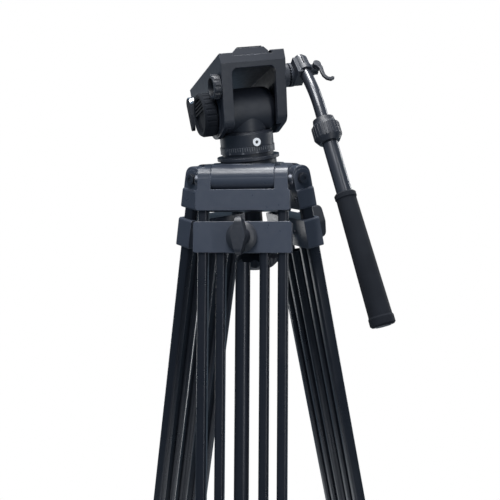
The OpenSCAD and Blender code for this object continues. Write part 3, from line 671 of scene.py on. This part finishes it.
def ear_crowns(bm):
    """The ears' rounded tops, which stand above the hinge."""
    for side in (-1, 1):
        rows = crown_rows(side * EAR_CENTRE)
        skin = [[bm.verts.new(p) for p in row] for row in rows]
        foot = [[bm.verts.new((row[i][0], row[i][1], CROWN_FOOT)) for i in (0, -1)] for row in rows]
        for a, b, fa, fb in zip(skin, skin[1:], foot, foot[1:]):
            for i in range(len(a) - 1):
                bm.faces.new([a[i], a[i + 1], b[i + 1], b[i]])
            bm.faces.new([fa[0], a[0], b[0], fb[0]])
            bm.faces.new([a[-1], fa[1], fb[1], b[-1]])
            bm.faces.new([fa[1], fa[0], fb[0], fb[1]])
        for row, low in ((skin[0], foot[0]), (skin[-1], foot[-1])):
            bm.faces.new([low[0], *row, low[1]])


for leg in LEGS:
    piece(leg + "_ear_crowns", leg + "_leg", "casting_grey", leg_frame(leg), ear_crowns)


# ---------------------------------------------------------------- bowl

# An arm's top rolls over at the front, about (x, z), and runs into the hinge's barrel.
ROLL_X, ROLL_Z, ROLL_R = -3.45, 3.0, 16.0
ROLL_HALF = 39.9
KNUCKLE_R = 12.55

# The cut on each of the bowl's arms: its half length, how far out and up it reaches from the hinge,
# and how far it runs under the roll's skin.
CUT_HALF = 44
CUT_OUT, CUT_TOP = 26, 30
CUT_UNDER = 0.1
CUT_WELD = 2e-6                         # metres

UPRIGHT = turn(90, "X")                 # stands an outline up, so that its y becomes z


def arm_rolls(bm):
    """The arms' round fronts between the ears, drawn in the shared frame."""
    outline = arc(ROLL_X, ROLL_Z, ROLL_R, 90, 0, 24) + arc(0, 0, KNUCKLE_R, 0, -90, 20)
    outline.append((ROLL_X, -KNUCKLE_R))
    for leg in LEGS:
        place = Matrix.Scale(1 / MM, 4) @ arm_frame(leg) @ Matrix.Scale(MM, 4)
        prism(bm, outline, -ROLL_HALF, ROLL_HALF, place @ UPRIGHT)


def roll_cutters():
    """What is taken off the fronts of the arms, in metres."""
    bm = bmesh.new()
    x, r = ROLL_X + CUT_UNDER, ROLL_R - CUT_UNDER
    outline = arc(x, ROLL_Z, r, 90, 0, 20) + [(CUT_OUT, ROLL_Z), (CUT_OUT, CUT_TOP), (x, CUT_TOP)]
    for leg in LEGS:
        prism(bm, outline, -CUT_HALF, CUT_HALF, arm_frame(leg) @ Matrix.Scale(MM, 4) @ UPRIGHT)
    bmesh.ops.recalc_face_normals(bm, faces=bm.faces)
    return as_object("cutter", bm)


def evaluated(obj):
    """An object's mesh, with its modifiers applied, or a text turned into a mesh."""
    return bpy.data.meshes.new_from_object(obj.evaluated_get(bpy.context.evaluated_depsgraph_get()))


def rolled_bowl():
    """A copy of the bowl's mesh, in metres, with the fronts of its arms cut round."""
    cutter = roll_cutters()
    bm = bmesh.new()
    bm.from_mesh(NODES["bowl"].data)
    bmesh.ops.remove_doubles(bm, verts=bm.verts, dist=CUT_WELD)
    blank = as_object("blank", bm)
    cut = blank.modifiers.new("cut", "BOOLEAN")
    cut.operation = "DIFFERENCE"
    cut.solver = "EXACT"
    cut.object = cutter
    mesh = evaluated(blank)
    bpy.data.objects.remove(blank)
    bpy.data.objects.remove(cutter)
    return mesh


# The mesh is in metres already, so its place undoes piece's scaling, and WELD is half a millimetre here.
rolled = rolled_bowl()
bowl_casting = piece("bowl_casting", "bowl_body", "casting_grey", Matrix.Scale(1 / MM, 4),
                     lambda bm: bm.from_mesh(rolled), crease=25)
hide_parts("bowl")
piece("arm_rolls", "bowl_body", "casting_grey", Matrix(), arm_rolls, crease=30)


# ---------------------------------------------------------------- pan scale

(_, RING_R), _, (RING_LOW, _) = span(PAN, "pan_scale_ring")

TICK_STEP = 5                           # degrees
TICK_FEET = {30: 2.4, 15: 3.4, TICK_STEP: 4.2}   # each 30 degrees a tick starts lowest, and so on
TICK_TOP = 8.4
TICK_HALF = 0.16
TICK_IN, TICK_OUT = 0.3, 0.06           # how far a tick reaches into the ring and out of it

NUMBER_STEP = 30                        # degrees
NUMBER_SIZE = 2.3
NUMBER_FOOT = 0.6
NUMBER_THICK = 0.2
NUMBER_IN = 0.1

INDEX_AT = -62                          # degrees round the pan axis
INDEX_TIP, INDEX_BACK = 37.6, 40.4      # radii
INDEX_HALF = 1.2
INDEX_LOW, INDEX_HIGH = 9.9, 10.2

WELL_R = 2.3
WELL_BACK, WELL_RIM, WELL_FLOOR = -2.4, -1.3, -1.7   # from the set screw's face

(_, screw_face), _, screw_heights = span(spin(PAN, -90), "pan_set_screw")
SCREW = shift(spin(PAN, -90), screw_face, 0, middle(screw_heights))


def scale_ticks(bm):
    inner, outer = RING_R - TICK_IN, RING_R + TICK_OUT
    outline = [(inner, -TICK_HALF), (outer, -TICK_HALF), (outer, TICK_HALF), (inner, TICK_HALF)]
    for angle in range(0, 360, TICK_STEP):
        foot = next(foot for step, foot in TICK_FEET.items() if angle % step == 0)
        prism(bm, outline, RING_LOW + foot, RING_LOW + TICK_TOP, turn(angle))


def number_mesh(text):
    """A number's mesh, centred on x = 0."""
    curve = bpy.data.curves.new("digits", "FONT")
    curve.body = text
    curve.size = NUMBER_SIZE
    curve.align_x = "CENTER"
    curve.extrude = NUMBER_THICK
    digits = show("digits", curve)
    bpy.context.view_layer.update()
    mesh = evaluated(digits)
    bpy.data.objects.remove(digits)
    return mesh


def scale_numbers(bm):
    """Plain degree numbers, bent round the ring."""
    for angle in range(0, 360, NUMBER_STEP):
        flat = number_mesh(str(angle))
        verts = []
        for v in flat.vertices:
            a = v.co.x / RING_R + math.radians(angle)
            r = RING_R - NUMBER_IN + v.co.z
            verts.append(bm.verts.new((r * math.cos(a), r * math.sin(a), RING_LOW + NUMBER_FOOT + v.co.y)))
        for polygon in flat.polygons:
            bm.faces.new([verts[i] for i in polygon.vertices])
        bpy.data.meshes.remove(flat)


def pan_index(bm):
    """The small arrow under the ring that the scale is read against."""
    outline = [(INDEX_TIP, 0), (INDEX_BACK, -INDEX_HALF), (INDEX_BACK, INDEX_HALF)]
    prism(bm, outline, INDEX_LOW, INDEX_HIGH, turn(INDEX_AT))


def set_screw_well(bm):
    """A near-black floor in the set screw's hexagon socket: painted shade in the socket."""
    lathe(bm, [(0, WELL_BACK), (WELL_R, WELL_BACK), (WELL_R, WELL_RIM), (0, WELL_FLOOR)], 6, turn(90, "Y"))


piece("pan_scale_ticks", "pan_body", "scale_mark", PAN, scale_ticks)
piece("pan_scale_numbers", "pan_body", "scale_mark", PAN, scale_numbers)
piece("pan_index", "ball", "scale_mark", PAN, pan_index)
# The socket's floor is drawn in knob_black as painted shade.
piece("set_screw_well", "pan_body", "knob_black", SCREW, set_screw_well)


# ---------------------------------------------------------------- handle

(_, COLLAR_R), _, _ = span(GRIP, "handle_twist_collar")
(_, ROD_R), _, (_, ROD_TOP) = span(STUB, "handle_rod")
_, _, (GRIP_END, _) = span(GRIP, "handle_grip")

RIBS = 24
RIB_FOOT_R, RIB_TOP_R = COLLAR_R - 0.8, COLLAR_R + 0.55
RIB_FOOT_HALF, RIB_TOP_HALF = 1.15, 0.8
RIB_LOW, RIB_HIGH = -24.6, -9.4         # from the collar's upper end

CAP_FACE, CAP_BACK = GRIP_END - 0.9, GRIP_END + 0.5
CAP_R = 10.1

PLUG_FOOT = ROD_TOP - 0.4
PLUG_R = ROD_R - 0.4

STRAP_Z = (STUB.inverted() @ at("handle_wing_turn")).z / MM
SLEEVE_LOW, SLEEVE_HIGH = STRAP_Z + 3.6, STRAP_Z + 17.4
SLEEVE_R, SLEEVE_BORE_R = ROD_R + 2.1, ROD_R + 0.3
SLEEVE_STEPS = 60
SLIT_HALF = 0.9
SLIT_AT = -104                          # degrees round the rod

WING = basis(at("handle_wing_turn"), *STUB.to_3x3().col)
WING_PIN_R, WING_PIN_END = 2.5, -8
WING_HUB_R, WING_HUB_FOOT, WING_HUB_TOP = 5.0, 5.4, 11.4
BLADE_LOW, BLADE_HIGH = 7.7, 11.1
BLADE_HEAD, BLADE_TIP = 3.6, 1.8        # how far the blade goes on past its path's ends
# The blade's path from the hub to the curled tip, as (x, z, half its width).
BLADE = ((0, 0, 4.4), (2.9, -7.5, 2.7), (2.0, -14.5, 2.4), (2.2, -20.5, 2.2), (4.8, -25.2, 2.3),
         (9, -27, 2.6), (13, -25.4, 2.3))


def twist_ribs(bm):
    outline = [(RIB_FOOT_R, -RIB_FOOT_HALF), (RIB_TOP_R, -RIB_TOP_HALF),
               (RIB_TOP_R, RIB_TOP_HALF), (RIB_FOOT_R, RIB_FOOT_HALF)]
    for k in range(RIBS):
        prism(bm, outline, RIB_LOW, RIB_HIGH, turn(k * 360 / RIBS))


def grip_end_cap(bm):
    lathe(bm, [(0, CAP_FACE), (CAP_R - 1.5, CAP_FACE), (CAP_R - 0.4, CAP_FACE + 0.5), (CAP_R, CAP_BACK),
               (0, CAP_BACK)])


def rod_top_plug(bm):
    """The slightly domed plug in the rod's upper end."""
    lathe(bm, [(0, PLUG_FOOT), (PLUG_R, PLUG_FOOT), (PLUG_R, PLUG_FOOT + 0.8),
               (PLUG_R - 0.7, PLUG_FOOT + 1.6), (PLUG_R - 1.9, PLUG_FOOT + 1.9), (0, PLUG_FOOT + 2)])


def clamp_sleeve(bm):
    """The clamp's split socket round the rod, above its strap."""
    slit = math.degrees(math.asin(SLIT_HALF / SLEEVE_R))
    start, stop = SLIT_AT + slit, SLIT_AT + 360 - slit
    outline = arc(0, 0, SLEEVE_R, start, stop, SLEEVE_STEPS)
    outline += arc(0, 0, SLEEVE_BORE_R, stop, start, SLEEVE_STEPS)
    rows = [[bm.verts.new((x, y, z)) for x, y in outline] for z in (SLEEVE_LOW, SLEEVE_HIGH)]
    last = len(outline) - 1
    for k in range(len(outline)):
        n = (k + 1) % len(outline)
        bm.faces.new([rows[0][k], rows[0][n], rows[1][n], rows[1][k]])
    for row in rows:
        for k in range(SLEEVE_STEPS):
            bm.faces.new([row[k], row[k + 1], row[last - k - 1], row[last - k]])


def wing_hub(bm):
    """The clamp lever's pin and hub."""
    lathe(bm, [(0, WING_PIN_END), (WING_PIN_R - 0.1, WING_PIN_END), (WING_PIN_R, WING_PIN_END + 0.2),
               (WING_PIN_R, WING_HUB_FOOT), (WING_HUB_R, WING_HUB_FOOT), (WING_HUB_R, WING_HUB_TOP - 0.4),
               (WING_HUB_R - 0.4, WING_HUB_TOP), (0, WING_HUB_TOP)], matrix=UPRIGHT)


def wing_lever(bm):
    """The clamp lever's flat blade, which curls out at its tip."""
    path = [Vector((x, z)) for x, z, half in BLADE]
    left, right = [], []
    for k, (x, z, half) in enumerate(BLADE):
        way = (path[min(k + 1, len(path) - 1)] - path[max(k - 1, 0)]).normalized() * half
        left.append((x - way.y, z + way.x))
        right.append((x + way.y, z - way.x))
    head = path[0] - (path[1] - path[0]).normalized() * BLADE_HEAD
    tip = path[-1] + (path[-1] - path[-2]).normalized() * BLADE_TIP
    prism(bm, [tuple(head), *left, tuple(tip), *right[::-1]], BLADE_LOW, BLADE_HIGH, UPRIGHT)


piece("twist_ribs", "twist", "knob_black", GRIP, twist_ribs, bevel=0.25)
piece("grip_end_cap", "grip", "knob_black", GRIP, grip_end_cap)
piece("rod_top_plug", "handle", "knob_black", STUB, rod_top_plug)
piece("clamp_sleeve", "handle", "head_black", STUB, clamp_sleeve, bevel=0.5)
piece("wing_hub", "handle_wing", "knob_black", WING, wing_hub)
blade = piece("wing_lever", "handle_wing", "knob_black", WING, wing_lever, bevel=0.8)
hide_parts("handle_wing_lever")


# ---------------------------------------------------------------- plate, tilt lock and level

RIDGES = 14                             # on each half of the pads
RIDGE_FIRST, RIDGE_STEP = 12.5, 3
RIDGE_FOOT_HALF, RIDGE_TOP_HALF = 0.9, 0.45
RIDGE_LOW, RIDGE_HIGH = 1.3, 1.95       # from the pads' underside
RIDGE_SHORT = 0.5                       # how far a ridge stops before the pad's edge

HUB_R = 9.5
HUB_SKIRT, HUB_WALL = -6.5, 0.45
HUB_OUT = -8.4                          # the hub's face, along x from the tilt lock's joint

LEVEL_R = 5.0
BEZEL_IN, BEZEL_OUT, BEZEL_TOP = 5.15, 6.9, 1.2
CIRCLE_IN, CIRCLE_OUT = 2.0, 2.3        # the circle marked on the level's dome

# Lays an outline sideways, so that its x becomes y and its y becomes z.
SIDEWAYS = Matrix(((0, 0, 1, 0), (1, 0, 0, 0), (0, 1, 0, 0), (0, 0, 0, 1)))

PADS_SPAN = span(CRADLE, "plate_pads")
PADS = shift(CRADLE, 0, middle(PADS_SPAN[1]), PADS_SPAN[2][0])
HUB = shift(basis(at("tilt_lock_swing"), *CRADLE.to_3x3().col), HUB_OUT)
LEVEL_SPAN = span(CRADLE, "bubble_level")
LEVEL = shift(CRADLE, LEVEL_SPAN[0][1] - LEVEL_R, middle(LEVEL_SPAN[1]), span(CRADLE, "cradle")[2][1])


def pad_ridges(bm):
    """Fine ridges across the rubber pads on the plate."""
    half = PADS_SPAN[0][1] - RIDGE_SHORT
    for side in (-1, 1):
        for k in range(RIDGES):
            y = side * (RIDGE_FIRST + RIDGE_STEP * k)
            outline = [(y - RIDGE_FOOT_HALF, RIDGE_LOW), (y + RIDGE_FOOT_HALF, RIDGE_LOW),
                       (y + RIDGE_TOP_HALF, RIDGE_HIGH), (y - RIDGE_TOP_HALF, RIDGE_HIGH)]
            prism(bm, outline, -half, half, SIDEWAYS)


def lock_hub(bm):
    """The chromed cap over the tilt lock lever's boss, with its skirt round the boss."""
    inner = HUB_R - HUB_WALL
    lathe(bm, [(inner, HUB_SKIRT), (HUB_R, HUB_SKIRT + 0.3), (HUB_R, 0.6), (HUB_R - 0.5, 1.4),
               (HUB_R - 2.5, 1.9), (0, 2.2), (0, -0.2), (inner, -0.2)], matrix=turn(-90, "Y"), ring=True)


def level_bezel(bm):
    lathe(bm, [(BEZEL_IN, -0.2), (BEZEL_OUT, -0.2), (BEZEL_OUT, BEZEL_TOP - 0.4),
               (BEZEL_OUT - 0.4, BEZEL_TOP), (BEZEL_IN + 0.35, BEZEL_TOP),
               (BEZEL_IN, BEZEL_TOP - 0.4)], ring=True)


def level_dome(bm):
    lathe(bm, [(0, 1.05), (1.6, 1.0), (3.2, 0.85), (4.4, 0.6), (LEVEL_R, 0.3), (LEVEL_R, -0.1), (0, -0.1)])


def level_ring(bm):
    lathe(bm, [(CIRCLE_IN, 0.9), (CIRCLE_OUT, 0.9), (CIRCLE_OUT, 1.1), (CIRCLE_IN, 1.12)], 32, ring=True)


piece("pad_ridges", "plate", "rubber_black", PADS, pad_ridges)
piece("lock_hub", "tilt_lock", "chrome", HUB, lock_hub)
piece("level_bezel", "cradle_body", "head_black", LEVEL, level_bezel)
piece("level_dome", "cradle_body", "level_fluid", LEVEL, level_dome)
piece("level_ring", "cradle_body", "head_black", LEVEL, level_ring)


# ---------------------------------------------------------------- screws and feet of the legs

# Screw heads as radius, height and key radius.
PIN_HEAD = (6.4, 1.6, 2.9)
BACK_SCREW = (3.6, 1.8, 1.7)
PIN_END = 60.9                          # a hinge pin's end, along the hinge

# Screws on the legs' backs: the body, how far apart a pair is, how far below and behind the hinge.
BACK_SCREWS = {
    "yoke_screws": ("leg", OUTER_APART, 27, 12.3),
    "collar_screws": ("slider", INNER_APART, 74, 11.3),
    "lower_screws": ("slider", INNER_APART, 672, 12.3),
}

FOOT_RINGS = 4
FOOT_RING_FIRST, FOOT_RING_STEP = 18.2, 1.5   # from the foot's underside
FOOT_RING_IN, FOOT_RING_OUT = 15.2, 16.45


def pin_heads(bm):
    for side in (-1, 1):
        socket_screw(bm, *PIN_HEAD, move(y=side * PIN_END) @ turn(-90 * side, "X"))


def back_screws(apart, below, behind):
    def draw(bm):
        for side in (-1, 1):
            socket_screw(bm, *BACK_SCREW, move(-behind, side * apart / 2, -below) @ turn(-90, "Y"))
    return draw


def foot_rings(bm):
    for k in range(FOOT_RINGS):
        z = FOOT_RING_FIRST + FOOT_RING_STEP * k
        lathe(bm, [(FOOT_RING_IN, z), (FOOT_RING_OUT, z + 0.3), (FOOT_RING_OUT, z + 0.7),
                   (FOOT_RING_IN, z + 1)], ring=True)


for leg in LEGS:
    place = leg_frame(leg)
    foot_low = span(place, leg + "_foot")[2][0]
    piece(leg + "_pin_heads", "bowl_body", "steel_dark", place, pin_heads)
    for name, (body, *sizes) in BACK_SCREWS.items():
        piece(f"{leg}_{name}", f"{leg}_{body}", "steel_dark", place, back_screws(*sizes))
    piece(leg + "_foot_rings", leg + "_extension", "rubber_black", shift(place, 0, 0, foot_low), foot_rings)
